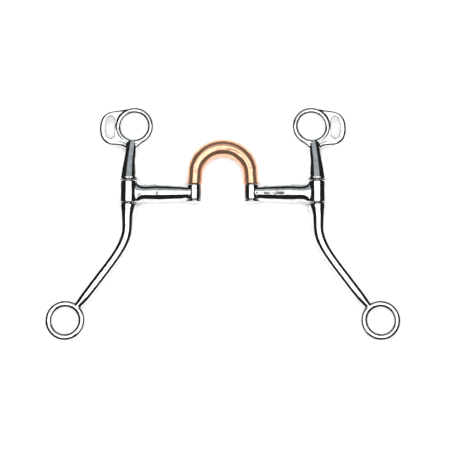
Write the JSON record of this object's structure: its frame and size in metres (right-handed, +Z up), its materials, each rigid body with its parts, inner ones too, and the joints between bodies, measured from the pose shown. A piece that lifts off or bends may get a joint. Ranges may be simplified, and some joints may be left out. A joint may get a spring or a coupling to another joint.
{
  "type": "curb bit",
  "caption": "Curb bit: a copper port hinged between steel mouth bars, loose swivelling cheeks with headstall rings, curb slots and swept shanks to rein rings.",
  "frame": {"origin": "on the surface that the bit lies on, under the middle of the whole bit", "axes": "+X along the mouthpiece, +Y from the rein rings to the headstall rings, +Z up from the surface"},
  "size_m": [0.268, 0.1788, 0.0158],
  "materials": {
    "copper": "polished copper",
    "bar_steel": "mirror polished stainless steel",
    "cheek_steel": "mirror polished stainless steel",
    "rivet_steel": "polished stainless steel"
  },
  "bodies": {
    "port": {"copper_port": "copper", "port_pin_left": "rivet_steel", "port_pin_right": "rivet_steel"},
    "left_bar": {"mouth_bar_left": "bar_steel"},
    "right_bar": {"mouth_bar_right": "bar_steel"},
    "left_cheek": {"upper_cheek_left": "cheek_steel", "swivel_pin_left": "rivet_steel", "lower_shank_left": "cheek_steel"},
    "right_cheek": {"upper_cheek_right": "cheek_steel", "swivel_pin_right": "rivet_steel", "lower_shank_right": "cheek_steel"}
  },
  "joints": [
    {"name": "port_hinge_left", "type": "hinge", "parent": "port", "child": "left_bar", "pos_m": [-0.0216, 0.0229, 0.0079], "axis": [0, 1, 0], "range_deg": [-45, 45]},
    {"name": "port_hinge_right", "type": "hinge", "parent": "port", "child": "right_bar", "pos_m": [0.0216, 0.0229, 0.0079], "axis": [0, -1, 0], "range_deg": [-45, 45]},
    {"name": "cheek_swivel_left", "type": "hinge", "parent": "left_bar", "child": "left_cheek", "pos_m": [-0.0714, 0.0229, 0.0079], "axis": [0, 1, 0], "continuous": true},
    {"name": "cheek_swivel_right", "type": "hinge", "parent": "right_bar", "child": "right_cheek", "pos_m": [0.0714, 0.0229, 0.0079], "axis": [0, -1, 0], "continuous": true}
  ]
}
